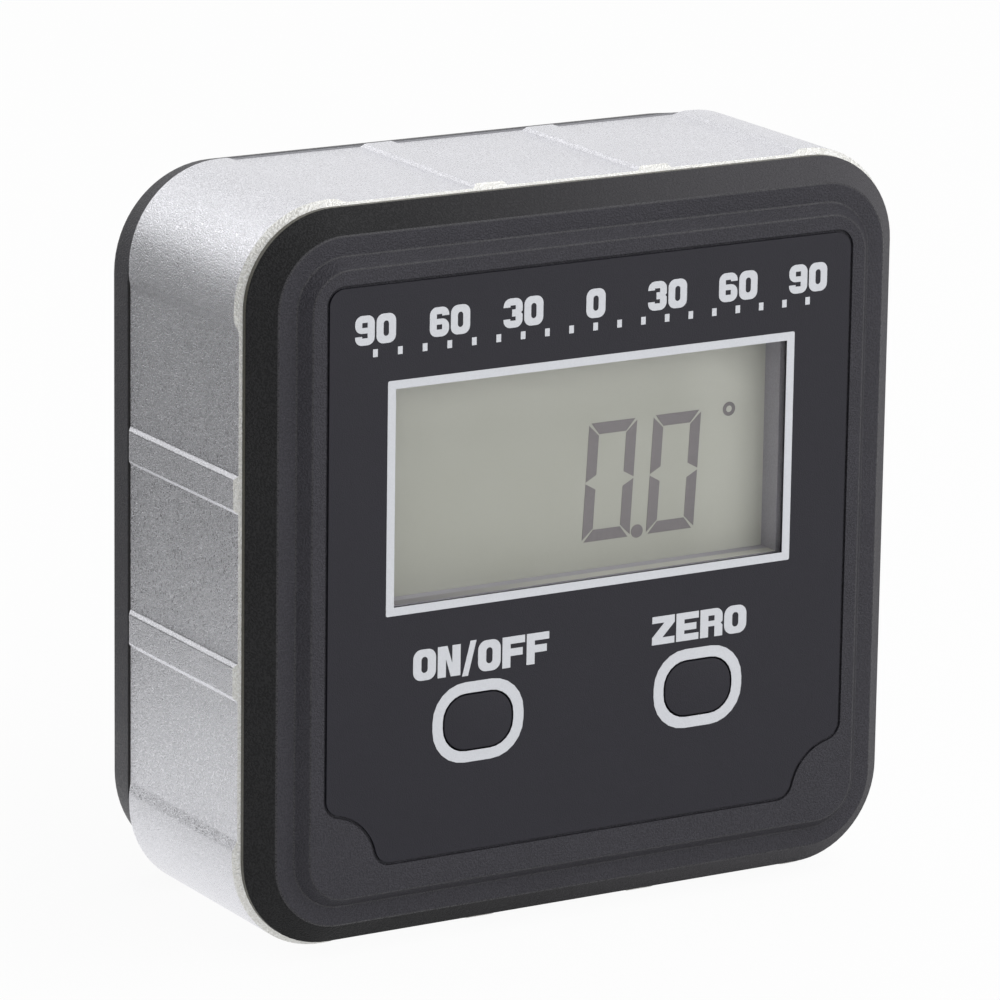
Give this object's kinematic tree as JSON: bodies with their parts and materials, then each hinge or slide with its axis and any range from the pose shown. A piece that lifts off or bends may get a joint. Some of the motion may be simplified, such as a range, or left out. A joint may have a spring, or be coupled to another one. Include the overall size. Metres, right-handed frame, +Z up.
{
  "type": "digital angle gauge",
  "caption": "Square box-shaped electronic angle gauge: ridged aluminium frame, stepped black bezel with display and push keys, back cover with sliding battery door.",
  "frame": {"origin": "centre of the footprint, on the surface that the base ridges stand on", "axes": "+X to the right of someone facing the display, +Y from the display towards the back, +Z up"},
  "size_m": [0.06, 0.0268, 0.06],
  "materials": {
    "satin_aluminium": "bead-blasted satin anodise with bright bevelled ends",
    "black_plastic": "moulded black with a fine spark grain",
    "printed_film": "velvet matte film with white print",
    "clear_pane": "clear polished acrylic",
    "holder_plastic": "moulded dark grey",
    "display_grey": "grey-green reflective liquid crystal display",
    "contact_rubber": "layered silicone",
    "foam": "closed-cell foam",
    "board": "green solder mask",
    "plated_steel": "bright nickel plate",
    "chip_black": "moulded epoxy",
    "key_black": "moulded satin black",
    "plunger_red": "moulded",
    "cell_wrap": "plain printed sleeve",
    "magnet_plate": "bright nickel plate"
  },
  "bodies": {
    "housing": {"frame": "satin_aluminium", "front_bezel": "black_plastic", "face_film": "printed_film", "display_window": "clear_pane", "display_holder": "holder_plastic", "display_glass": "display_grey", "contact_strip": "contact_rubber", "foam_strip": "foam", "circuit_board": "board", "board_screws": "plated_steel", "processor": "chip_black", "tilt_sensor": "chip_black", "timing_crystal": "plated_steel", "on_off_switch": "chip_black", "zero_switch": "chip_black", "back_cover": "black_plastic", "cover_screws": "plated_steel", "upper_cell": "cell_wrap", "lower_cell": "cell_wrap", "link_contact": "plated_steel", "positive_contact": "plated_steel", "negative_contact": "plated_steel", "upper_spring": "plated_steel", "lower_spring": "plated_steel", "left_magnet": "magnet_plate", "middle_magnet": "magnet_plate", "right_magnet": "magnet_plate"},
    "on_off_button": {"on_off_key": "key_black", "on_off_plunger": "plunger_red"},
    "zero_button": {"zero_key": "key_black", "zero_plunger": "plunger_red"},
    "door": {"battery_door": "black_plastic"}
  },
  "joints": [
    {"name": "on_off_press", "type": "slide", "parent": "housing", "child": "on_off_button", "axis": [0, 1, 0], "range_m": [0, 0.00025], "stiffness_N_per_m": 6400},
    {"name": "zero_press", "type": "slide", "parent": "housing", "child": "zero_button", "axis": [0, 1, 0], "range_m": [0, 0.00025], "stiffness_N_per_m": 6400},
    {"name": "door_slide", "type": "slide", "parent": "housing", "child": "door", "axis": [1, 0, 0], "range_m": [0, 0.046]}
  ]
}
